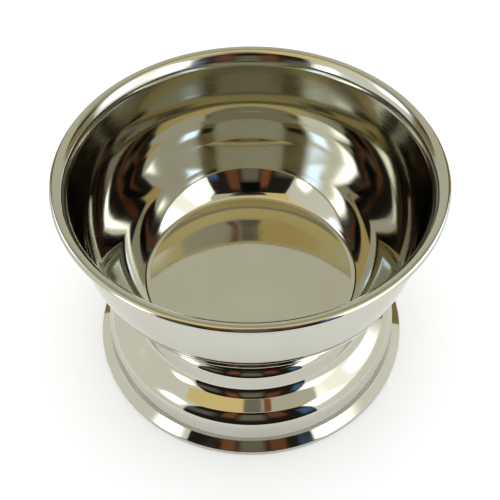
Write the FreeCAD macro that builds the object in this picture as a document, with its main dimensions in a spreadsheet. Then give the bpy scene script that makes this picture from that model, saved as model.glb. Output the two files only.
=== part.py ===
"""Footed champagne bucket, spun from sheet: a wide round bowl bolted to a stepped hollow pedestal.

Frame: millimetres, +Z up, origin on the bowl's axis at the plane of the table.
Every round piece is turned about Z, so its profile is drawn in the XZ plane: x is the radius.
"""
import FreeCAD, Part
import math
import os

import Sketcher

# ---------------------------------------------------------------- driving dimensions
DIMENSIONS = [
    # bowl
    ("rim_radius", 110.0, "outer edge of the rolled rim"),
    ("total_height", 146.5, "table to the top of the rim"),
    ("sheet", 1.0, "thickness of the spun sheet"),
    ("floor_height", 51.2, "table to the inside of the bowl's floor"),
    ("floor_corner", 66.3, "radius where the floor and the flare's foot would meet"),
    ("floor_round", 5.7, "rounding between floor and flare, inside"),
    ("flare_foot", 77.0, "radius where the flare turns upwards"),
    ("flare_foot_height", 60.4, "height where the flare turns upwards"),
    ("flare_foot_round", 61.0, "rounding of the flare's foot, inside"),
    ("flare_corner", 100.4, "radius where the flare and the wall would meet"),
    ("flare_height", 100.5, "height where the flare and the wall would meet"),
    ("flare_round", 74.0, "rounding between flare and wall, inside"),
    ("mouth_radius", 101.0, "radius where the wall and the lip would meet"),
    ("mouth_height", 141.7, "height where the wall and the lip would meet"),
    ("mouth_round", 12.6, "bend from the wall out to the lip"),
    ("lip_corner", 105.5, "radius where the lip reaches its full height"),
    ("lip_round", 3.9, "bend from the sloping lip to its top"),
    # rolled rim
    ("roll_radius", 1.95, "outside radius of the roll's section"),
    ("wire_radius", 0.65, "radius of the wire inside the roll"),
    # pedestal
    ("seat_radius", 60.0, "flat seat that carries the bowl"),
    ("seat_round", 4.0, "rounding at the edge of the seat"),
    ("collar_radius", 73.0, "upper step, outer corner"),
    ("collar_height", 45.1, "upper step, outer corner"),
    ("collar_round", 6.0, "rounding of the upper step's corner"),
    ("shelf_radius", 76.9, "upper step meets the shelf"),
    ("shelf_height", 32.0, "upper step meets the shelf"),
    ("shelf_round", 9.2, "hollow rounding between upper step and shelf"),
    ("shoulder_radius", 93.8, "lower step, outer corner"),
    ("shoulder_height", 25.0, "lower step, outer corner"),
    ("shoulder_round", 12.0, "rounding of the lower step's corner"),
    ("skirt_radius", 95.8, "lower edge of the pedestal's skirt"),
    # base ring
    ("ring_height", 7.0, "table to the skirt's lower edge"),
    ("ring_radius", 101.6, "outside of the base ring"),
    ("ring_bore", 92.5, "inside of the base ring"),
    ("ring_edge", 3.3, "height of the ring's upright edge"),
    ("ring_round", 1.0, "rounding between the ring's bevel and edge"),
    ("ring_foot_round", 0.5, "rounding at the ring's foot"),
    # central fixing
    ("stud_radius", 4.0, "M8 stud"),
    ("stud_length", 15.2, "stud below the seat plate"),
    ("stud_tip", 0.8, "chamfer at the stud's end"),
    ("weld_radius", 5.2, "weld flange of the stud"),
    ("thread_pitch", 1.25, "M8 coarse"),
    ("thread_depth", 0.6, "depth of the thread's grooves"),
    ("thread_mouth", 0.56, "half the width of a groove at the surface"),
    ("thread_overcut", 0.06, "how far the groove's outline stands outside the stud"),
    ("thread_turns", 10, "threaded turns"),
    ("stud_hole", 5.6, "hole in the seat plate"),
    ("bore_radius", 4.3, "bore of washers and nut"),
    ("load_washer_radius", 15.0, "wide washer"),
    ("load_washer_thickness", 1.5, "wide washer"),
    ("spring_washer_radius", 6.5, "split washer"),
    ("spring_washer_thickness", 2.0, "split washer"),
    ("spring_washer_gap", 1.2, "slit in the split washer"),
    ("slit_length", 9.0, "length of the block that cuts the slit, out from the axis"),
    ("slit_depth", 6.0, "depth of the block that cuts the slit"),
    ("nut_flats", 13.0, "nut across its flats"),
    ("nut_height", 6.5, "nut"),
    ("nut_face_radius", 6.2, "round face left at each end of the nut"),
    ("nut_overcut", 1.0, "how far the turning cut stands outside the nut"),
]
SLIT_TILT = math.radians(20)  # lean of the split washer's slit from the upright
NUT_TURNING_SLOPE = math.tan(math.radians(30))  # fall of the nut's turned corners
HEXAGON_SIDES = 6
LEAST_CUT = 0.1  # mm3; a hole or groove that removes less than this has missed its piece

doc = FreeCAD.newDocument("champagne_bucket")
sheet = doc.addObject("Spreadsheet::Sheet", "Dims")
for row, (alias, value, meaning) in enumerate(DIMENSIONS, start=1):
    sheet.set("A%d" % row, alias)
    sheet.set("B%d" % row, str(value))
    sheet.set("C%d" % row, meaning)
    sheet.setAlias("B%d" % row, alias)
doc.recompute()


# ---------------------------------------------------------------- sizes with their formulas
class Size:
    """A number together with the spreadsheet formula that gives it."""

    def __init__(self, value, formula):
        self.value = float(value)
        self.formula = formula

    def __add__(self, other):
        return Size(self.value + other.value, "(%s + %s)" % (self.formula, other.formula))

    def __sub__(self, other):
        return Size(self.value - other.value, "(%s - %s)" % (self.formula, other.formula))

    def __mul__(self, factor):
        return Size(self.value * factor, "(%s * %r)" % (self.formula, factor))


D = {alias: Size(value, "Dims." + alias) for alias, value, meaning in DIMENSIONS}
ZERO = Size(0.0, "0")


def bind(thing, prop, size):
    """Tie a property of a feature, or a named constraint, to its formula."""
    thing.setExpression(prop, size.formula)


# ---------------------------------------------------------------- sketches
class Outline:
    """A sketch in one of a body's own planes, drawn with lines and tangent arcs."""

    def __init__(self, body, name, role="XZ_Plane"):
        self.sketch = body.newObject("Sketcher::SketchObject", name)
        plane = [p for p in body.Origin.OriginFeatures if p.Role == role]
        self.sketch.AttachmentSupport = (plane[0], [""])
        self.sketch.MapMode = "FlatFace"
        self.named = 0

    def rule(self, *args):
        return self.sketch.addConstraint(Sketcher.Constraint(*args))

    def sized(self, size, *args):
        """A constraint whose value follows the spreadsheet."""
        index = self.rule(*args, size.value)
        self.named += 1
        name = "size%d" % self.named
        self.sketch.renameConstraint(index, name)
        bind(self.sketch, "Constraints." + name, size)

    def line(self, start, end):
        a = FreeCAD.Vector(start[0], start[1], 0)
        b = FreeCAD.Vector(end[0], end[1], 0)
        return self.sketch.addGeometry(Part.LineSegment(a, b), False)

    def arc(self, centre, radius, first, last):
        """Anticlockwise arc between two angles in radians."""
        circle = Part.Circle(FreeCAD.Vector(centre[0], centre[1], 0), FreeCAD.Vector(0, 0, 1), radius)
        return self.sketch.addGeometry(Part.ArcOfCircle(circle, first, last), False)

    def place(self, geo, end, x, y):
        """Hold one point of the sketch at (x, y)."""
        if x.value == 0:
            self.rule("PointOnObject", geo, end, -2)
        else:
            self.sized(x, "DistanceX", -1, 1, geo, end)
        if y.value == 0:
            self.rule("PointOnObject", geo, end, -1)
        else:
            self.sized(y, "DistanceY", -1, 1, geo, end)

    def corner_point(self, x, y):
        """A construction point that marks where two rounded-off sides would meet."""
        point = Part.Point(FreeCAD.Vector(x.value, y.value, 0))
        geo = self.sketch.addGeometry(point, True)
        self.place(geo, 1, x, y)
        return geo

    def join(self, before, bend, after):
        """Fix the end of one side to the start of the next, through the bend's arc if there is one."""
        if bend is None:
            self.rule("Coincident", before, 2, after, 1)
            return
        arc, left_turn = bend
        enter, leave = (1, 2) if left_turn else (2, 1)
        self.rule("Tangent", before, 2, arc, enter)
        self.rule("Tangent", arc, leave, after, 1)


def unit(a, b):
    length = math.dist(a, b)
    return ((b[0] - a[0]) / length, (b[1] - a[1]) / length)


def bend_points(before, corner, after, radius):
    """Where a rounding starts and ends, its centre, and whether the path turns left there."""
    u = unit(before, corner)
    w = unit(corner, after)
    cross = u[0] * w[1] - u[1] * w[0]
    turn = math.atan2(cross, u[0] * w[0] + u[1] * w[1])
    reach = radius * math.tan(abs(turn) / 2)
    start = (corner[0] - u[0] * reach, corner[1] - u[1] * reach)
    end = (corner[0] + w[0] * reach, corner[1] + w[1] * reach)
    side = 1 if turn > 0 else -1
    centre = (start[0] - u[1] * side * radius, start[1] + u[0] * side * radius)
    return start, end, centre, turn > 0


def draw_path(outline, corners, radii, closed):
    """Lines through the corners, with an arc wherever a radius is given.

    Returns the lines, and for each corner its arc with its turning side, or None.
    """
    count = len(corners)
    starts = list(corners)
    ends = list(corners)
    bends = [None] * count
    for i, radius in enumerate(radii):
        if radius:
            start, end, centre, left_turn = bend_points(
                corners[i - 1], corners[i], corners[(i + 1) % count], radius)
            ends[i], starts[i] = start, end
            from_angle = math.atan2(start[1] - centre[1], start[0] - centre[0])
            to_angle = math.atan2(end[1] - centre[1], end[0] - centre[0])
            span = (from_angle, to_angle) if left_turn else (to_angle, from_angle)
            bends[i] = (outline.arc(centre, radius, *span), left_turn)
    sides = count if closed else count - 1
    lines = [outline.line(starts[i], ends[(i + 1) % count]) for i in range(sides)]
    for i in range(0 if closed else 1, sides):
        outline.join(lines[i - 1], bends[i], lines[i])
    return lines, bends


def numbers(corners):
    return [(x.value, y.value) for x, y, radius in corners]


def fix_corners(outline, corners, lines, bends):
    """Hold every corner of a drawn path where the spreadsheet puts it."""
    for i, (x, y, radius) in enumerate(corners):
        if bends[i] is None:
            if i < len(lines):
                outline.place(lines[i], 1, x, y)
            else:
                outline.place(lines[i - 1], 2, x, y)
            continue
        point = outline.corner_point(x, y)
        outline.rule("PointOnObject", point, 1, lines[i - 1])
        outline.rule("PointOnObject", point, 1, lines[i % len(lines)])
        outline.sized(radius, "Radius", bends[i][0])


def closed_profile(body, name, corners, role="XZ_Plane"):
    """A closed outline: each corner is (x, y, rounding or None)."""
    outline = Outline(body, name, role)
    radii = [radius.value if radius else 0 for x, y, radius in corners]
    lines, bends = draw_path(outline, numbers(corners), radii, True)
    fix_corners(outline, corners, lines, bends)
    return outline.sketch


def sheet_profile(body, name, corners, thickness, end_cap):
    """A strip of even thickness that follows a path out from the axis.

    The corners lie on the strip's left side, seen along the path, or its upper side here; the
    lower side is parallel to it. end_cap says how the free end is cut: Horizontal or Vertical.
    """
    outline = Outline(body, name)
    points = numbers(corners)
    radii = [radius.value if radius else 0 for x, y, radius in corners]
    upper, upper_bends = draw_path(outline, points, radii, False)
    fix_corners(outline, corners, upper, upper_bends)

    depth = thickness.value
    normals = []
    for a, b in zip(points, points[1:]):
        u = unit(a, b)
        normals.append((u[1], -u[0]))
    lower_points = [(points[0][0] + normals[0][0] * depth, points[0][1] + normals[0][1] * depth)]
    for point, n, m in zip(points[1:], normals, normals[1:]):
        scale = depth / (1 + n[0] * m[0] + n[1] * m[1])
        lower_points.append((point[0] + (n[0] + m[0]) * scale, point[1] + (n[1] + m[1]) * scale))
    last = normals[-1]
    lower_points.append((points[-1][0] + last[0] * depth, points[-1][1] + last[1] * depth))

    lower_radii = [0]
    for bend, radius in zip(upper_bends[1:-1], radii[1:-1]):
        lower_radii.append(radius + depth if bend[1] else radius - depth)
    lower_radii.append(0)
    lower, lower_bends = draw_path(outline, lower_points, lower_radii, False)
    for i, (top, bottom) in enumerate(zip(upper, lower)):
        outline.rule("Parallel", top, bottom)
        outline.sized(thickness, "Distance", bottom, 1, top)
        if i:
            arc, left_turn = lower_bends[i]
            radius = corners[i][2]
            outline.sized(radius + thickness if left_turn else radius - thickness, "Radius", arc)
    on_axis = outline.line(lower_points[0], points[0])
    outline.rule("Coincident", on_axis, 1, lower[0], 1)
    outline.rule("Coincident", on_axis, 2, upper[0], 1)
    outline.rule("PointOnObject", lower[0], 1, -2)
    cap = outline.line(points[-1], lower_points[-1])
    outline.rule("Coincident", cap, 1, upper[-1], 2)
    outline.rule("Coincident", cap, 2, lower[-1], 2)
    outline.rule(end_cap, cap)
    return outline.sketch


# ---------------------------------------------------------------- features
def new_body(label):
    body = doc.addObject("PartDesign::Body", label)
    body.Label = label
    return body


def full_turn(body, kind, name, sketch):
    feature = body.newObject(kind, name)
    feature.Profile = sketch
    feature.ReferenceAxis = (sketch, ["V_Axis"])
    feature.Angle = 360.0
    doc.recompute()
    return feature


def turned(body, name, sketch):
    """Add a profile turned once round the axis."""
    return full_turn(body, "PartDesign::Revolution", name, sketch)


def require_cut(body, name, volume_before):
    if volume_before - body.Shape.Volume < LEAST_CUT:
        raise RuntimeError("%s cuts nothing from %s" % (name, body.Label))


def turned_away(body, name, sketch):
    """Cut a profile turned once round the axis."""
    before = body.Shape.Volume
    groove = full_turn(body, "PartDesign::Groove", name, sketch)
    require_cut(body, name, before)
    return groove


def round_hole(body, name, radius):
    """A hole on the axis, through everything."""
    before = body.Shape.Volume
    outline = Outline(body, name + "_sketch", "XY_Plane")
    circle = Part.Circle(FreeCAD.Vector(0, 0, 0), FreeCAD.Vector(0, 0, 1), radius.value)
    geo = outline.sketch.addGeometry(circle, False)
    outline.rule("Coincident", geo, 3, -1, 1)
    outline.sized(radius, "Radius", geo)
    pocket = body.newObject("PartDesign::Pocket", name)
    pocket.Profile = outline.sketch
    pocket.Type = "ThroughAll"
    pocket.Midplane = True
    doc.recompute()
    require_cut(body, name, before)


# ---------------------------------------------------------------- the pieces
def bowl_shell():
    """The spun bowl: flat floor, curved flare, nearly upright wall, turned-out lip and rolled rim."""
    body = new_body("bowl_shell")
    roll_centre = (D["rim_radius"] - D["roll_radius"], D["total_height"] - D["roll_radius"])
    corners = [
        (ZERO, D["floor_height"], None),
        (D["floor_corner"], D["floor_height"], D["floor_round"]),
        (D["flare_foot"], D["flare_foot_height"], D["flare_foot_round"]),
        (D["flare_corner"], D["flare_height"], D["flare_round"]),
        (D["mouth_radius"], D["mouth_height"], D["mouth_round"]),
        (D["lip_corner"], D["total_height"], D["lip_round"]),
        (roll_centre[0], D["total_height"], None),
    ]
    turned(body, "bowl_wall", sheet_profile(body, "bowl_wall_sketch", corners, D["sheet"], "Vertical"))

    roll = Outline(body, "rim_roll_sketch")
    centre = (roll_centre[0].value, roll_centre[1].value)
    outer_radius = D["roll_radius"]
    inner_radius = D["roll_radius"] - D["sheet"]
    outer = roll.arc(centre, outer_radius.value, -math.pi, math.pi / 2)
    inner = roll.arc(centre, inner_radius.value, -math.pi, math.pi / 2)
    top = roll.line((centre[0], centre[1] + outer_radius.value), (centre[0], centre[1] + inner_radius.value))
    tail = roll.line((centre[0] - outer_radius.value, centre[1]), (centre[0] - inner_radius.value, centre[1]))
    roll.place(outer, 3, *roll_centre)
    roll.rule("Coincident", inner, 3, outer, 3)
    roll.sized(outer_radius, "Radius", outer)
    roll.sized(inner_radius, "Radius", inner)
    roll.rule("Coincident", top, 1, outer, 2)
    roll.rule("Coincident", top, 2, inner, 2)
    roll.rule("Coincident", tail, 1, outer, 1)
    roll.rule("Coincident", tail, 2, inner, 1)
    roll.rule("Vertical", outer, 3, outer, 2)
    roll.rule("Vertical", top)
    roll.rule("Horizontal", outer, 3, outer, 1)
    roll.rule("Horizontal", tail)
    turned(body, "rim_roll", roll.sketch)
    return body


def rim_wire():
    """The wire that the rim is rolled around."""
    wire = doc.addObject("Part::Torus", "rim_wire")
    wire.Label = "rim_wire"
    bind(wire, "Radius1", D["rim_radius"] - D["roll_radius"])
    bind(wire, "Radius2", D["wire_radius"])
    bind(wire, "Placement.Base.z", D["total_height"] - D["roll_radius"])
    return wire


def foot_shell():
    """The spun pedestal: a flat seat under the bowl, two round-shouldered steps and a skirt."""
    body = new_body("foot_shell")
    seat_height = D["floor_height"] - D["sheet"]
    corners = [
        (ZERO, seat_height, None),
        (D["seat_radius"], seat_height, D["seat_round"]),
        (D["collar_radius"], D["collar_height"], D["collar_round"]),
        (D["shelf_radius"], D["shelf_height"], D["shelf_round"]),
        (D["shoulder_radius"], D["shoulder_height"], D["shoulder_round"]),
        (D["skirt_radius"], D["ring_height"], None),
    ]
    turned(body, "foot_wall", sheet_profile(body, "foot_wall_sketch", corners, D["sheet"], "Horizontal"))
    round_hole(body, "foot_stud_hole", D["stud_hole"])
    return body


def base_ring():
    """The heavy bevelled ring that the skirt stands on and is brazed to."""
    body = new_body("base_ring")
    corners = [
        (D["ring_bore"], ZERO, None),
        (D["ring_radius"], ZERO, D["ring_foot_round"]),
        (D["ring_radius"], D["ring_edge"], D["ring_round"]),
        (D["skirt_radius"], D["ring_height"], None),
        (D["ring_bore"], D["ring_height"], None),
    ]
    turned(body, "ring_section", closed_profile(body, "ring_sketch", corners))
    return body


def mount_stud():
    """A threaded stud, welded by its flange under the middle of the bowl's floor."""
    body = new_body("mount_stud")
    top = D["floor_height"] - D["sheet"]
    under_flange = top - D["sheet"]
    tip = under_flange - D["stud_length"]
    corners = [
        (ZERO, tip, None),
        (D["stud_radius"] - D["stud_tip"], tip, None),
        (D["stud_radius"], tip + D["stud_tip"], None),
        (D["stud_radius"], under_flange, None),
        (D["weld_radius"], under_flange, None),
        (D["weld_radius"], top, None),
        (ZERO, top, None),
    ]
    turned(body, "stud_shank", closed_profile(body, "stud_sketch", corners))

    first = tip + D["stud_tip"] + D["thread_pitch"]
    outside = D["stud_radius"] + D["thread_overcut"]
    groove_corners = [
        (D["stud_radius"] - D["thread_depth"], first, None),
        (outside, first - D["thread_mouth"], None),
        (outside, first + D["thread_mouth"], None),
    ]
    groove_sketch = closed_profile(body, "thread_sketch", groove_corners)
    groove = turned_away(body, "thread_groove", groove_sketch)
    thread = body.newObject("PartDesign::LinearPattern", "thread")
    thread.Originals = [groove]
    thread.Direction = (groove_sketch, ["V_Axis"])
    bind(thread, "Length", D["thread_pitch"] * (D["thread_turns"].value - 1))
    bind(thread, "Occurrences", D["thread_turns"])
    body.Tip = thread
    doc.recompute()
    return body


def flat_ring(label, radius, bore, low, thickness):
    """A plain washer standing on the height low."""
    disc = doc.addObject("Part::Cylinder", label + "_disc")
    hole = doc.addObject("Part::Cylinder", label + "_bore")
    for cylinder, size in ((disc, radius), (hole, bore)):
        bind(cylinder, "Radius", size)
        bind(cylinder, "Height", thickness)
        bind(cylinder, "Placement.Base.z", low)
    ring = doc.addObject("Part::Cut", label)
    ring.Base = disc
    ring.Tool = hole
    ring.Label = label
    return ring


def fixing_heights():
    """Undersides of the seat plate, wide washer, split washer and nut, from the top down."""
    plate = D["floor_height"] - D["sheet"] - D["sheet"]
    wide = plate - D["load_washer_thickness"]
    split = wide - D["spring_washer_thickness"]
    nut = split - D["nut_height"]
    return wide, split, nut


def load_washer():
    """The wide washer that spreads the nut's load over the seat plate."""
    low = fixing_heights()[0]
    return flat_ring("load_washer", D["load_washer_radius"], D["bore_radius"], low,
                     D["load_washer_thickness"])


def spring_washer():
    """The split washer that keeps the nut tight."""
    low = fixing_heights()[1]
    whole = flat_ring("spring_washer_blank", D["spring_washer_radius"], D["bore_radius"], low,
                      D["spring_washer_thickness"])
    half_gap = D["spring_washer_gap"] * 0.5
    half_depth = D["slit_depth"] * 0.5
    middle = low + D["spring_washer_thickness"] * 0.5
    lean_y = ZERO - half_gap * math.cos(SLIT_TILT) - half_depth * math.sin(SLIT_TILT)
    lean_z = half_gap * math.sin(SLIT_TILT) - half_depth * math.cos(SLIT_TILT)
    slit = doc.addObject("Part::Box", "spring_washer_slit")
    bind(slit, "Length", D["slit_length"])
    bind(slit, "Width", D["spring_washer_gap"])
    bind(slit, "Height", D["slit_depth"])
    slit.Placement.Rotation = FreeCAD.Rotation(FreeCAD.Vector(-1, 0, 0), math.degrees(SLIT_TILT))
    bind(slit, "Placement.Base.y", lean_y)
    bind(slit, "Placement.Base.z", middle + lean_z)
    washer = doc.addObject("Part::Cut", "spring_washer")
    washer.Base = whole
    washer.Tool = slit
    washer.Label = "spring_washer"
    return washer


def hex_nut():
    """The nut, with both ends of its corners turned down."""
    body = new_body("hex_nut")
    low = fixing_heights()[2]
    corner_radius = D["nut_flats"] * (0.5 / math.cos(math.pi / HEXAGON_SIDES))
    outline = Outline(body, "nut_sketch", "XY_Plane")
    angles = [2 * math.pi * i / HEXAGON_SIDES for i in range(HEXAGON_SIDES)]
    points = [(corner_radius.value * math.cos(a), corner_radius.value * math.sin(a)) for a in angles]
    lines, bends = draw_path(outline, points, [0] * HEXAGON_SIDES, True)
    circle = Part.Circle(FreeCAD.Vector(0, 0, 0), FreeCAD.Vector(0, 0, 1), corner_radius.value)
    around = outline.sketch.addGeometry(circle, True)
    outline.rule("Coincident", around, 3, -1, 1)
    outline.sized(corner_radius, "Radius", around)
    for line in lines:
        outline.rule("PointOnObject", line, 1, around)
    for line, after in zip(lines, lines[1:]):
        outline.rule("Equal", line, after)
    outline.rule("PointOnObject", lines[0], 1, -1)
    outline.sketch.AttachmentOffset.Base.z = low.value
    bind(outline.sketch, "AttachmentOffset.Base.z", low)
    pad = body.newObject("PartDesign::Pad", "nut_blank")
    pad.Profile = outline.sketch
    bind(pad, "Length", D["nut_height"])
    doc.recompute()

    inner = D["nut_face_radius"]
    outer = corner_radius + D["nut_overcut"]
    drop = (outer - inner) * NUT_TURNING_SLOPE
    margin = D["nut_overcut"]
    top = low + D["nut_height"]
    ends = (("nut_top_turning", top, 1), ("nut_bottom_turning", low, -1))
    for name, face, side in ends:
        corners = [
            (inner, face, None),
            (outer, face - drop * side, None),
            (outer, face + margin * side, None),
            (inner, face + margin * side, None),
        ]
        turned_away(body, name, closed_profile(body, name + "_sketch", corners))
    round_hole(body, "nut_bore", D["bore_radius"])
    return body


# ---------------------------------------------------------------- build, check, write
PIECES = (
    bowl_shell, rim_wire, foot_shell, base_ring, mount_stud, load_washer, spring_washer, hex_nut,
)
built = [make() for make in PIECES]
doc.recompute()

for thing in doc.Objects:
    failed = {"Invalid", "Error"} & set(thing.State)
    if failed:
        raise RuntimeError("%s: %s" % (thing.Name, sorted(failed)))
for piece in built:
    if piece.Shape.isNull() or not piece.Shape.isValid():
        raise RuntimeError("%s has no valid shape" % piece.Label)

os.makedirs("parts", exist_ok=True)
for piece in built:
    piece.Shape.exportStep("parts/%s.step" % piece.Label)
    box = piece.Shape.BoundBox
    print("%-14s solids %d volume %9.1f mm3  z %.2f to %.2f  x to %.2f" % (
        piece.Label, len(piece.Shape.Solids), piece.Shape.Volume, box.ZMin, box.ZMax, box.XMax))
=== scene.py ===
"""Silver champagne bucket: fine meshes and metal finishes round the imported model, in a small studio.

The bucket's own sizes are in millimetres, the studio's in metres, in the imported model's frame: origin
on the bowl's axis at the table, +Z up. Outlines are lists of (radius, height, rounding), walked with the
outside of the metal on the left.
"""
import math

import bpy
from mathutils import Matrix, Vector

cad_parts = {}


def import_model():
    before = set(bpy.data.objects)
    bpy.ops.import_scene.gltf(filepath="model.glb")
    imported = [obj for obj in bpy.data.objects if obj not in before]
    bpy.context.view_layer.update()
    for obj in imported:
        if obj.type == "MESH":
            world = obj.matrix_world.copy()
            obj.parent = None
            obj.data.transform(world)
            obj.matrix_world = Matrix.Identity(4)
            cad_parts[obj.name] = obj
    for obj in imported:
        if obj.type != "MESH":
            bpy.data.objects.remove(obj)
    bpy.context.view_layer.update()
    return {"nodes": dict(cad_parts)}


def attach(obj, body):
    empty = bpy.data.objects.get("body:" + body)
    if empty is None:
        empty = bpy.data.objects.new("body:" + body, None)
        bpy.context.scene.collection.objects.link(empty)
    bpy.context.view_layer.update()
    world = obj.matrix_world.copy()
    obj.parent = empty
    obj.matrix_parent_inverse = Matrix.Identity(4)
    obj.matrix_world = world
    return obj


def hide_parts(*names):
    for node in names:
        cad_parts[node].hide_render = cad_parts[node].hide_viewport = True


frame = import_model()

MM = 0.001

# ---------------------------------------------------------------- sizes, in millimetres
SHEET = 1.0
BOWL_INSIDE = [
    (0.0, 51.2, 0.0),
    (66.3, 51.2, 5.7),
    (77.0, 60.4, 61.0),
    (100.4, 100.5, 74.0),
    (101.0, 141.7, 12.6),
    (105.5, 146.5, 3.9),
]
FOOT_OUTSIDE = [
    (5.6, 50.2, 0.0),
    (60.0, 50.2, 4.0),
    (73.0, 45.1, 6.0),
    (76.9, 32.0, 9.2),
    (93.8, 25.0, 12.0),
    (95.8, 7.0, 0.0),
]
RING = [
    (92.5, 7.0, 0.3),
    (95.8, 7.0, 0.3),
    (101.6, 3.3, 1.0),
    (101.6, 0.0, 0.5),
    (92.5, 0.0, 0.3),
]
ROLL_CENTRE = (108.05, 144.55)
ROLL_RADIUS = 1.95
ROLL_START = 90  # degrees: the sheet runs into the roll at its top
ROLL_TURN = 270  # degrees that the sheet is rolled round
SHEET_EDGE_ROUND = 0.2  # cut edges of the sheet are slightly rounded
SEGMENTS = 288  # round the axis
LONGEST_STEP = 3.0  # along a straight stretch of an outline
ARC_STEP = math.radians(3)
LEAST_ARC_STEPS = 4
ON_AXIS = 1e-6  # a point with a smaller radius is one point on the axis


# ---------------------------------------------------------------- outlines
def unit(a, b):
    length = math.dist(a, b)
    return ((b[0] - a[0]) / length, (b[1] - a[1]) / length)


def corner_arc(before, corner, after, radius):
    """Points and outward normals along the arc that rounds a corner."""
    u = unit(before, corner)
    w = unit(corner, after)
    turn = math.atan2(u[0] * w[1] - u[1] * w[0], u[0] * w[0] + u[1] * w[1])
    side = 1 if turn > 0 else -1
    reach = radius * math.tan(abs(turn) / 2)
    start = (corner[0] - u[0] * reach, corner[1] - u[1] * reach)
    centre = (start[0] - u[1] * side * radius, start[1] + u[0] * side * radius)
    steps = max(LEAST_ARC_STEPS, math.ceil(abs(turn) / ARC_STEP))
    arc = []
    for i in range(steps + 1):
        angle = turn * i / steps
        along = (u[0] * math.cos(angle) - u[1] * math.sin(angle),
                 u[0] * math.sin(angle) + u[1] * math.cos(angle))
        normal = (-along[1], along[0])
        arc.append(((centre[0] - normal[0] * side * radius, centre[1] - normal[1] * side * radius), normal))
    return arc


def between(last, first, normal):
    """Points with one normal, evenly spaced on the straight stretch between two others."""
    steps = max(1, math.ceil(math.dist(last, first) / LONGEST_STEP))
    stretch = []
    for k in range(1, steps):
        t = k / steps
        stretch.append(((last[0] + (first[0] - last[0]) * t, last[1] + (first[1] - last[1]) * t), normal))
    return stretch


def walk(corners, closed):
    """Points with outward normals along a rounded outline, stepping evenly along its straight parts."""
    count = len(corners)
    flat = [corner[:2] for corner in corners]
    bends = []
    for i, (r, z, rounding) in enumerate(corners):
        if not closed and i in (0, count - 1):
            near, far = (flat[0], flat[1]) if i == 0 else (flat[-2], flat[-1])
            along = unit(near, far)
            bends.append([(flat[i], (-along[1], along[0]))])
        else:
            bends.append(corner_arc(flat[i - 1], flat[i], flat[(i + 1) % count], rounding))
    line = []
    for i, bend in enumerate(bends):
        if i or closed:
            last, normal = bends[i - 1][-1]
            line += between(last, bend[0][0], normal)
        line += bend
    return line


def lower_side(corners, thickness):
    """The outline parallel to an open one, on its right, walked back towards its start."""
    normals = []
    for a, b in zip(corners, corners[1:]):
        u = unit(a[:2], b[:2])
        normals.append((u[1], -u[0]))
    shifted = []
    for i, (r, z, rounding) in enumerate(corners):
        n = normals[max(i - 1, 0)]
        m = normals[min(i, len(normals) - 1)]
        scale = thickness / (1 + n[0] * m[0] + n[1] * m[1])
        left_turn = n[0] * m[1] - n[1] * m[0] > 0
        if rounding:
            rounding += thickness if left_turn else -thickness
        shifted.append((r + (n[0] + m[0]) * scale, z + (n[1] + m[1]) * scale, rounding))
    return shifted[::-1]


def roll_arc(radius, facing):
    """The roll at one radius, with normals that face away from its centre (1) or towards it (-1)."""
    r, z = ROLL_CENTRE
    steps = math.ceil(math.radians(ROLL_TURN) / ARC_STEP)
    arc = []
    for i in range(steps + 1):
        a = math.radians(ROLL_START - ROLL_TURN * i / steps)
        x, y = math.cos(a), math.sin(a)
        arc.append(((r + radius * x, z + radius * y), (facing * x, facing * y)))
    return arc


def rim_roll():
    """The lip's bead: over the top, three quarters round, across the sheet's edge and back inside."""
    r, z = ROLL_CENTRE
    inner = ROLL_RADIUS - SHEET
    outside = roll_arc(ROLL_RADIUS, 1)
    inside = roll_arc(inner, -1)[::-1]
    edge = walk([(r - ROLL_RADIUS, z - SHEET, 0.0), (r - ROLL_RADIUS, z, SHEET_EDGE_ROUND),
                 (r - inner, z, SHEET_EDGE_ROUND), (r - inner, z - SHEET, 0.0)], False)
    cut = [(point, normal) for point, normal in edge if point[1] >= z - SHEET_EDGE_ROUND]
    return outside[:-1] + cut + inside[1:]


def bowl_outline():
    """From the middle of the floor up the inside, round the bead and back down the outside."""
    height = BOWL_INSIDE[-1][1]
    upper = BOWL_INSIDE + [(ROLL_CENTRE[0], height, 0.0)]
    return walk(upper, False)[:-1] + rim_roll() + walk(lower_side(upper, SHEET), False)[1:]


def foot_outline():
    """From the hole in the seat down the outside to the base ring, and back up the inside."""
    lower = lower_side(FOOT_OUTSIDE, SHEET)
    r, z, rounding = FOOT_OUTSIDE[-1]
    lower[0] = (r - SHEET, z, SHEET_EDGE_ROUND)
    corners = [(r, z, rounding or SHEET_EDGE_ROUND) for r, z, rounding in FOOT_OUTSIDE + lower]
    return walk(corners, True)


# ---------------------------------------------------------------- meshes
def link(name, mesh):
    piece = bpy.data.objects.new(name, mesh)
    bpy.context.scene.collection.objects.link(piece)
    return piece


def lathe(name, outline, closed):
    """Turn an outline of points and normals round the axis, with the outline's own smooth normals."""
    points, normals, rows = [], [], []
    for (r, z), (nr, nz) in outline:
        first = len(points)
        if r < ON_AXIS:
            rows.append([first] * SEGMENTS)
            points.append((0.0, 0.0, z * MM))
            normals.append((0.0, 0.0, nz))
        else:
            rows.append(list(range(first, first + SEGMENTS)))
            for i in range(SEGMENTS):
                a = 2 * math.pi * i / SEGMENTS
                points.append((r * MM * math.cos(a), r * MM * math.sin(a), z * MM))
                normals.append((nr * math.cos(a), nr * math.sin(a), nz))
    faces = []
    for k in range(len(rows) if closed else len(rows) - 1):
        this, after = rows[k], rows[(k + 1) % len(rows)]
        for i in range(SEGMENTS):
            j = (i + 1) % SEGMENTS
            corners = (this[i], after[i], after[j], this[j])
            faces.append(tuple(dict.fromkeys(corners)))
    mesh = bpy.data.meshes.new(name)
    mesh.from_pydata(points, [], faces)
    mesh.validate()
    mesh.shade_smooth()
    mesh.normals_split_custom_set_from_vertices(normals)
    return link(name, mesh)


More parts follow.
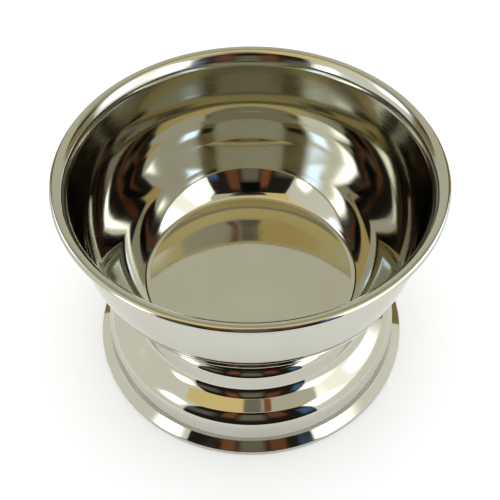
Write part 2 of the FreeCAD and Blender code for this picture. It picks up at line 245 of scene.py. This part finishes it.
# ---------------------------------------------------------------- shader building
OPENS_UPWARDS = -1  # a wall that is wider at its top
CLOSES_UPWARDS = 1
LEAST_RADIUS = 0.001  # keeps the division by the radius sound at the axis


class Shader:
    """A node material, built one node at a time."""

    def __init__(self, name):
        self.material = bpy.data.materials.new(name)
        self.material.use_nodes = True
        self.tree = self.material.node_tree
        self.surface = self.tree.nodes["Principled BSDF"]

    def feed(self, socket, value):
        """Join another node's output to a socket, or give the socket a fixed value."""
        if isinstance(value, bpy.types.NodeSocket):
            self.tree.links.new(value, socket)
        else:
            socket.default_value = value

    def node(self, kind, inputs=(), **settings):
        made = self.tree.nodes.new(kind)
        for key, value in settings.items():
            setattr(made, key, value)
        for key, value in dict(inputs).items():
            self.feed(made.inputs[key], value)
        return made

    def drive(self, key, value):
        """Set one of the surface's own inputs."""
        self.feed(self.surface.inputs[key], value)

    def math(self, operation, a, b=0.0, c=0.0):
        return self.node("ShaderNodeMath", {0: a, 1: b, 2: c}, operation=operation).outputs[0]

    def remap(self, value, low, high, to_low, to_high, **settings):
        """Carry the range from low to high over to another, and hold the value there outside it."""
        inputs = {"Value": value, "From Min": low, "From Max": high, "To Min": to_low, "To Max": to_high}
        return self.node("ShaderNodeMapRange", inputs, **settings).outputs["Result"]

    def mask(self, value, low, high):
        """0 up to the low value, 1 from the high one."""
        return self.remap(value, low, high, 0.0, 1.0)

    def noise(self, place, scale, detail=2.0):
        inputs = {"Vector": place, "Scale": scale, "Detail": detail}
        return self.node("ShaderNodeTexNoise", inputs).outputs[0]

    def blend(self, factor, first, second):
        """A colour that goes from the first to the second as the factor goes from 0 to 1."""
        mix = self.node("ShaderNodeMix", {0: factor}, data_type="RGBA")
        start, end = [socket for socket in mix.inputs if socket.type == "RGBA"]
        self.feed(start, first)
        self.feed(end, second)
        return next(socket for socket in mix.outputs if socket.type == "RGBA")

    def bump(self, height, depth, below=None):
        """Raise the surface by the height's share of a depth in metres, on top of an earlier bump."""
        inputs = {"Height": height, "Strength": 1.0, "Distance": depth}
        if below is not None:
            inputs["Normal"] = below
        return self.node("ShaderNodeBump", inputs).outputs[0]


class Turned:
    """Where a point is on a turned piece, whose wall opens or closes upwards."""

    def __init__(self, shader, lean):
        self.shader = shader
        self.lean = lean
        self.place = shader.node("ShaderNodeTexCoord").outputs["Object"]
        x, y, self.height = shader.node("ShaderNodeSeparateXYZ", {0: self.place}).outputs
        squares = shader.math("ADD", shader.math("MULTIPLY", x, x), shader.math("MULTIPLY", y, y))
        radius = shader.math("MAXIMUM", shader.math("SQRT", squares), LEAST_RADIUS)
        self.round_x = shader.math("DIVIDE", x, radius)
        self.round_y = shader.math("DIVIDE", y, radius)
        self.along = shader.math("MULTIPLY_ADD", radius, -lean, self.height)

    def rings(self, per_radian, per_metre):
        """Noise drawn out round the axis, with about so many marks to the radian and to the metre across."""
        shader = self.shader
        stretched = shader.node("ShaderNodeCombineXYZ", {
            0: shader.math("MULTIPLY", self.round_x, per_radian),
            1: shader.math("MULTIPLY", self.round_y, per_radian),
            2: shader.math("MULTIPLY", self.along, per_metre)}).outputs[0]
        return shader.noise(stretched, 1.0)

    def outside(self):
        """1 on the side of the sheet that faces away from its hollow, 0 on the other."""
        shader = self.shader
        facing = shader.node("ShaderNodeNewGeometry").outputs["Normal"]
        nx, ny, nz = shader.node("ShaderNodeSeparateXYZ", {0: facing}).outputs
        outwards = shader.math("MULTIPLY_ADD", nx, self.round_x, shader.math("MULTIPLY", ny, self.round_y))
        return shader.math("GREATER_THAN", shader.math("MULTIPLY_ADD", nz, self.lean, outwards), 0.0)


# ---------------------------------------------------------------- materials
SILVER_LIGHT = (0.57, 0.57, 0.515, 1.0)
SILVER_WARM = (0.54, 0.53, 0.465, 1.0)
STAIN = (0.16, 0.13, 0.10, 1.0)
STAIN_CELLS = 85.0  # per metre; a cell holds one stain or none
STAINED_SHARE = 0.10  # of the cells
STAIN_CORE = 0.03  # of a cell
STAIN_EDGE = 0.06
STAIN_DEPTH = 0.6  # how far a stain hides the metal
STAIN_ROUGHNESS = 0.3
WIPED_FROM = 0.100  # heights between which the hollow side goes duller towards the rim
WIPED_TO = 0.125
WIPED_DULLER = 2.2
SMEAR_ROUGHNESS = 0.035
SCRATCH_ROUGHNESS = 0.10
SCRATCH_DEPTH = 2.0e-6
RING_DEPTH = 1.2e-6
SILVER_BRUSHING = 0.7  # anisotropy

WIRE_DARK = (0.47, 0.46, 0.44, 1.0)
WIRE_LIGHT = (0.60, 0.59, 0.57, 1.0)
WIRE_LINE_DEPTH = 8.0e-6

STUD_ZINC = ((0.62, 0.62, 0.63, 1.0), (0.50, 0.50, 0.47, 1.0))  # clean, dull
WASHER_ZINC = ((0.66, 0.66, 0.66, 1.0), (0.54, 0.54, 0.50, 1.0))
SPRING_ZINC = ((0.46, 0.46, 0.47, 1.0), (0.36, 0.36, 0.34, 1.0))
NUT_ZINC = ((0.64, 0.63, 0.60, 1.0), (0.52, 0.51, 0.45, 1.0))
FILM_ROUGHNESS = 0.14
ZINC_GRAIN_DEPTH = 1.0e-5


def stains(shader, place):
    """A few small round spots: 0 on clean metal, the full depth in a spot's core."""
    cells = shader.node("ShaderNodeTexVoronoi", {"Vector": place, "Scale": STAIN_CELLS, "Randomness": 1.0})
    lot = shader.node("ShaderNodeSeparateColor", {0: cells.outputs["Color"]}).outputs[0]
    spot = shader.remap(cells.outputs["Distance"], STAIN_CORE, STAIN_EDGE, STAIN_DEPTH, 0.0)
    return shader.math("MULTIPLY", spot, shader.math("LESS_THAN", lot, STAINED_SHARE))


def two_sided_polish(turned, hollow_roughness, outer_roughness):
    """Roughness of the outer side and of the hollow side, which is wiped less well towards its rim."""
    shader = turned.shader
    duller = WIPED_DULLER * hollow_roughness
    wiped = shader.remap(turned.height, WIPED_FROM, WIPED_TO, hollow_roughness, duller)
    return shader.remap(turned.outside(), 0.0, 1.0, wiped, outer_roughness)


def spun_silver(name, lean, hollow_roughness, outer_roughness, ripple):
    """Polished sheet metal spun on a lathe: fine rings, soft smears, hairline scratches and a few stains.

    ripple is the depth in metres of the slow unevenness that makes mirrored edges wander.
    """
    shader = Shader(name)
    turned = Turned(shader, lean)
    clouds = shader.mask(shader.noise(turned.place, scale=18.0, detail=4.0), 0.35, 0.65)
    smears = shader.mask(shader.noise(turned.place, scale=55.0, detail=5.0), 0.40, 0.75)
    rings = turned.rings(per_radian=1.6, per_metre=900.0)
    scratches = shader.mask(turned.rings(per_radian=7.0, per_metre=620.0), 0.70, 0.76)
    stain = stains(shader, turned.place)

    metal = shader.blend(clouds, SILVER_LIGHT, SILVER_WARM)
    shader.drive("Base Color", shader.blend(stain, metal, STAIN))
    shader.drive("Metallic", 1.0)
    side = two_sided_polish(turned, hollow_roughness, outer_roughness)
    polish = shader.math("MULTIPLY", side, shader.remap(rings, 0.3, 0.7, 0.75, 1.25))
    polish = shader.math("MULTIPLY_ADD", smears, SMEAR_ROUGHNESS, polish)
    polish = shader.math("MULTIPLY_ADD", scratches, SCRATCH_ROUGHNESS, polish)
    shader.drive("Roughness", shader.math("MULTIPLY_ADD", stain, STAIN_ROUGHNESS, polish))
    shader.drive("Anisotropic", SILVER_BRUSHING)
    shader.drive("Tangent", shader.node("ShaderNodeTangent", direction_type="RADIAL", axis="Z").outputs[0])

    slow = shader.bump(shader.noise(turned.place, scale=22.0, detail=1.0), ripple)
    ringed = shader.bump(rings, RING_DEPTH, slow)
    shader.drive("Normal", shader.bump(scratches, -SCRATCH_DEPTH, ringed))
    return shader.material


def drawn_wire(name):
    """Bright drawn steel wire bent round the axis, with lengthwise die lines."""
    shader = Shader(name)
    lines = Turned(shader, OPENS_UPWARDS).rings(per_radian=5.0, per_metre=6000.0)
    shader.drive("Base Color", shader.blend(lines, WIRE_DARK, WIRE_LIGHT))
    shader.drive("Metallic", 1.0)
    shader.drive("Roughness", shader.remap(lines, 0.3, 0.7, 0.22, 0.38))
    shader.drive("Normal", shader.bump(lines, WIRE_LINE_DEPTH))
    return shader.material


def zinc_plate(name, colours):
    """Zinc-plated steel: a faintly clouded passivated film over a fine grain."""
    shader = Shader(name)
    place = shader.node("ShaderNodeTexCoord").outputs["Object"]
    clouds = shader.mask(shader.noise(place, scale=160.0, detail=4.0), 0.35, 0.65)
    grain = shader.noise(place, scale=4500.0, detail=2.0)
    plating = shader.remap(grain, 0.3, 0.7, 0.24, 0.34)
    shader.drive("Base Color", shader.blend(clouds, *colours))
    shader.drive("Metallic", 1.0)
    shader.drive("Roughness", shader.math("MULTIPLY_ADD", clouds, FILM_ROUGHNESS, plating))
    shader.drive("Normal", shader.bump(grain, ZINC_GRAIN_DEPTH))
    return shader.material


# ---------------------------------------------------------------- studio
TENT_SIDE = 0.30  # half the width of the light tent
TENT_BACK = 0.34
TENT_FRONT = -0.36
TENT_TOP = 0.60
WHOLE_WIDTH = (-TENT_SIDE, TENT_SIDE)
WHOLE_HEIGHT = (0.0, 0.62)  # a little past the top, so that no gap shows in a corner
UNIT_SQUARE = ((-0.5, -0.5), (0.5, -0.5), (0.5, 0.5), (-0.5, 0.5))

LEFT_WHITE = (0.82, 0.81, 0.73)
RIGHT_WHITE = (0.88, 0.88, 0.82)
RIGHT_GLOW = (1.35, 1.36, 1.28)
OLIVE_SHADE = (0.30, 0.25, 0.13)
# painted shade: the darkest, soft-edged patches on the shaded back part of the side walls
DEEP_SHADE = (0.03, 0.02, 0.012)
BACK_TAN = (0.62, 0.61, 0.50)
TOP_SHADE = (0.46, 0.43, 0.34)
TOP_WARM = (0.90, 0.77, 0.42)
TOP_AMBER = (0.85, 0.68, 0.34)
TOP_PALE = (0.62, 0.60, 0.50)
STRAP_GREY = (0.24, 0.23, 0.19)
TOP_BROWN = (0.30, 0.13, 0.06)
LEFT_LAMP = (4.0, 4.0, 4.2)
RIGHT_LAMP = (4.0, 4.1, 4.3)
COOL_LAMP = (2.4, 3.0, 4.2)
FRONT_DARK = (0.03, 0.024, 0.02)
FRONT_GREY = (0.21, 0.19, 0.145)
FRONT_DIM = (0.16, 0.15, 0.13)
LEFT_BROWN = (0.24, 0.105, 0.05)
RIGHT_BROWN = (0.21, 0.09, 0.045)
FRONT_BLUE = (0.10, 0.18, 0.34)
CAMERA_BLACK = (0.008, 0.008, 0.009)

TABLE_WHITE = (0.86, 0.86, 0.855, 1.0)
TABLE_ROUGHNESS = 0.7
TABLE_SHINE = 0.1
FLOOR_SIZE = 6.0
FLOOR_DROP = 0.0002  # the wide floor lies this far under the table sheet

DAYLIGHT = (1.0, 1.0, 1.0, 1.0)
DAYLIGHT_STRENGTH = 1.17
DIM_ROOM = (0.08, 0.068, 0.05, 1.0)

CAMERA_PLACE = (-0.00034, -0.3191, 0.4553)
CAMERA_DIP = 50.10  # degrees below level
CAMERA_ROLL = -0.47
SENSOR_WIDTH = 36.0  # millimetres, as is the lens
LENS = 57.63
NEAREST_SEEN = 0.01


def fabric_shader(name, colour, soft):
    """A glowing card; soft is the share of its half width over which the glow fades out."""
    shader = Shader(name)
    shader.tree.nodes.remove(shader.surface)
    strength = max(colour)
    tint = (*(c / strength for c in colour), 1.0)
    surface = shader.node("ShaderNodeEmission", {"Color": tint, "Strength": strength}).outputs[0]
    if soft:
        place = shader.node("ShaderNodeTexCoord").outputs["Generated"]
        axes = shader.node("ShaderNodeSeparateXYZ", {0: place})
        cover = 1.0
        for axis in ("X", "Y"):
            off_centre = shader.math("ABSOLUTE", shader.math("SUBTRACT", axes.outputs[axis], 0.5))
            fade = shader.remap(off_centre, 0.5, 0.5 - soft / 2, 0.0, 1.0, interpolation_type="SMOOTHSTEP")
            cover = shader.math("MULTIPLY", fade, cover)
        clear = shader.node("ShaderNodeBsdfTransparent").outputs[0]
        surface = shader.node("ShaderNodeMixShader", {0: cover, 1: clear, 2: surface}).outputs[0]
    shader.feed(shader.tree.nodes["Material Output"].inputs["Surface"], surface)
    return shader.material


def tent_card(name, wall, across, along, colour, soft=0.0, inset=0.0):
    """A card on one wall of the tent, or inset from it. across and along are its ranges on that wall.

    The side walls are measured in y and z, the front and back in x and z, the top in x and y.
    """
    width, height = across[1] - across[0], along[1] - along[0]
    middle = ((across[0] + across[1]) / 2, (along[0] + along[1]) / 2)
    at = {
        "left": (-TENT_SIDE + inset, *middle), "right": (TENT_SIDE - inset, *middle),
        "front": (middle[0], TENT_FRONT + inset, middle[1]), "back": (middle[0], TENT_BACK - inset, middle[1]),
        "top": (*middle, TENT_TOP - inset),
    }[wall]
    x_axis = Vector((0, 1, 0) if wall in ("left", "right") else (1, 0, 0))
    y_axis = Vector((0, 1, 0) if wall == "top" else (0, 0, 1))
    corners = [(width * u, height * v, 0.0) for u, v in UNIT_SQUARE]
    mesh = bpy.data.meshes.new(name)
    mesh.from_pydata(corners, [], [(0, 1, 2, 3)])
    card = link(name, mesh)
    turn = Matrix((x_axis, y_axis, x_axis.cross(y_axis))).transposed().to_4x4()
    card.matrix_world = Matrix.Translation(at) @ turn
    mesh.materials.append(fabric_shader(name, colour, soft))
    card.visible_camera = False
    card.visible_diffuse = False
    card.visible_shadow = False


def tent_sides():
    """White side walls, brighter high on the right, that fall into shade towards the back."""
    tent_card("left_wall", "left", (-0.38, 0.15), WHOLE_HEIGHT, LEFT_WHITE)
    tent_card("right_wall", "right", (-0.48, 0.11), WHOLE_HEIGHT, RIGHT_WHITE)
    tent_card("right_upper", "right", (-0.40, 0.11), (0.17, 0.62), RIGHT_GLOW, soft=0.2, inset=0.002)
    tent_card("left_back_wall", "left", (0.15, 0.34), WHOLE_HEIGHT, OLIVE_SHADE)
    tent_card("right_back_wall", "right", (0.11, 0.34), WHOLE_HEIGHT, OLIVE_SHADE)
    # Painted shade: two soft, nearly black patches in the shaded back part of the side walls.
    tent_card("left_deep_shade", "left", (0.15, 0.33), (0.28, 0.46), DEEP_SHADE, soft=0.5, inset=0.004)
    tent_card("right_deep_shade", "right", (0.11, 0.31), (0.28, 0.44), DEEP_SHADE, soft=0.5, inset=0.004)


def tent_back_and_top():
    """A tan back wall, and a top that is warm towards the front, with a grey and a brown strip there."""
    tent_card("back_wall", "back", WHOLE_WIDTH, WHOLE_HEIGHT, BACK_TAN)
    tent_card("top_back", "top", WHOLE_WIDTH, (0.10, 0.34), TOP_SHADE)
    tent_card("top_middle", "top", WHOLE_WIDTH, (-0.12, 0.10), TOP_WARM)
    tent_card("top_front", "top", (-0.30, 0.02), (-0.34, -0.12), TOP_AMBER)
    tent_card("top_front_right", "top", (0.02, 0.30), (-0.34, -0.12), TOP_PALE)
    tent_card("top_strap", "top", (-0.045, 0.05), (-0.32, -0.14), STRAP_GREY, soft=0.3, inset=0.004)
    tent_card("top_hand", "top", (0.05, 0.09), (-0.32, -0.14), TOP_BROWN, soft=0.3, inset=0.004)


def tent_lamps():
    """The glow of lamps on the side walls: two near the front, and two cooler ones further back."""
    tent_card("left_lamp_front", "left", (-0.34, -0.16), (0.08, 0.40), LEFT_LAMP, soft=0.8, inset=0.006)
    tent_card("right_lamp_front", "right", (-0.38, -0.12), (0.15, 0.60), RIGHT_LAMP, soft=0.8, inset=0.006)
    tent_card("left_lamp_back", "left", (0.0, 0.16), (0.26, 0.46), COOL_LAMP, soft=0.6, inset=0.006)
    tent_card("right_lamp_back", "right", (-0.06, 0.09), (0.20, 0.46), COOL_LAMP, soft=0.6, inset=0.006)


def tent_front():
    """The dark open front, with dim upright shapes and the black of a camera in it."""
    tent_card("front_dark", "front", (-0.34, 0.28), WHOLE_HEIGHT, FRONT_DARK)
    tent_card("front_middle", "front", (-0.07, 0.07), (0.08, 0.46), FRONT_GREY, soft=0.6, inset=0.01)
    tent_card("front_left", "front", (-0.32, -0.12), (0.10, 0.36), FRONT_DIM, soft=0.6, inset=0.01)
    tent_card("front_left_arm", "front", (-0.13, -0.05), (0.12, 0.56), LEFT_BROWN, soft=0.6, inset=0.015)
    tent_card("front_right_arm", "front", (0.05, 0.15), (0.12, 0.60), RIGHT_BROWN, soft=0.6, inset=0.015)
    tent_card("front_blue", "front", (0.18, 0.27), (0.03, 0.40), FRONT_BLUE, soft=0.6, inset=0.015)
    tent_card("front_camera", "front", (-0.07, 0.07), (0.40, 0.58), CAMERA_BLACK, soft=0.2, inset=0.03)


def floor_sheet(name, side, front, back, z):
    """A white sheet; side is half its width."""
    mesh = bpy.data.meshes.new(name)
    corners = [(-side, front, z), (side, front, z), (side, back, z), (-side, back, z)]
    mesh.from_pydata(corners, [], [(0, 1, 2, 3)])
    sheet = link(name, mesh)
    shader = Shader(name)
    shader.drive("Base Color", TABLE_WHITE)
    shader.drive("Roughness", TABLE_ROUGHNESS)
    shader.drive("Specular IOR Level", TABLE_SHINE)
    mesh.materials.append(shader.material)
    return sheet


def table():
    """The white sheet that the bucket stands on, and a wider one that the metal doesn't mirror."""
    floor_sheet("table", TENT_SIDE, TENT_FRONT, TENT_BACK, 0.0)
    wide = floor_sheet("wide_floor", FLOOR_SIZE, -FLOOR_SIZE, FLOOR_SIZE, -FLOOR_DROP)
    wide.visible_glossy = False


def world():
    """Even white light and a white backdrop; reflections see a dim warm room instead."""
    made = bpy.data.worlds.new("studio")
    bpy.context.scene.world = made
    made.use_nodes = True
    tree = made.node_tree
    light = tree.nodes["Background"]
    light.inputs["Color"].default_value = DAYLIGHT
    light.inputs["Strength"].default_value = DAYLIGHT_STRENGTH
    room = tree.nodes.new("ShaderNodeBackground")
    room.inputs["Color"].default_value = DIM_ROOM
    path = tree.nodes.new("ShaderNodeLightPath")
    pick = tree.nodes.new("ShaderNodeMixShader")
    tree.links.new(path.outputs["Is Glossy Ray"], pick.inputs[0])
    tree.links.new(light.outputs[0], pick.inputs[1])
    tree.links.new(room.outputs[0], pick.inputs[2])
    tree.links.new(pick.outputs[0], tree.nodes["World Output"].inputs["Surface"])


def camera():
    """A camera in front of the bucket and above it, looking down into the bowl."""
    data = bpy.data.cameras.new("camera")
    made = link("camera", data)
    tilt = Matrix.Rotation(math.radians(90 - CAMERA_DIP), 4, "X")
    roll = Matrix.Rotation(math.radians(CAMERA_ROLL), 4, "Z")
    made.matrix_world = Matrix.Translation(CAMERA_PLACE) @ tilt @ roll
    data.sensor_width = SENSOR_WIDTH
    data.lens = LENS
    data.clip_start = NEAREST_SEEN
    bpy.context.scene.camera = made


# ---------------------------------------------------------------- assembly
def replace(node, outline, closed, material):
    """Show a finely turned mesh in place of a CAD node's own."""
    piece = lathe(node + "_fine", outline, closed)
    piece.data.materials.append(material)
    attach(piece, "root")
    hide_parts(node)


def coat(node, material):
    """Give a material to a CAD node that is shown with its own mesh."""
    for slot in frame["nodes"][node].material_slots:
        slot.material = material


bowl_metal = spun_silver(
    "bowl_metal", OPENS_UPWARDS, hollow_roughness=0.045, outer_roughness=0.04, ripple=1.5e-4)
foot_metal = spun_silver(
    "foot_metal", CLOSES_UPWARDS, hollow_roughness=0.28, outer_roughness=0.035, ripple=1.2e-4)
replace("bowl_shell", bowl_outline(), False, bowl_metal)
replace("foot_shell", foot_outline(), True, foot_metal)
replace("base_ring", walk(RING, True), True, foot_metal)
coat("rim_wire", drawn_wire("wire_metal"))
coat("mount_stud", zinc_plate("stud_zinc", STUD_ZINC))
coat("load_washer", zinc_plate("washer_zinc", WASHER_ZINC))
coat("spring_washer", zinc_plate("spring_zinc", SPRING_ZINC))
coat("hex_nut", zinc_plate("nut_zinc", NUT_ZINC))

table()
world()
tent_sides()
tent_back_and_top()
tent_lamps()
tent_front()
camera()
bpy.context.scene.view_settings.view_transform = "Standard"
bpy.context.scene.view_settings.look = "Medium High Contrast"
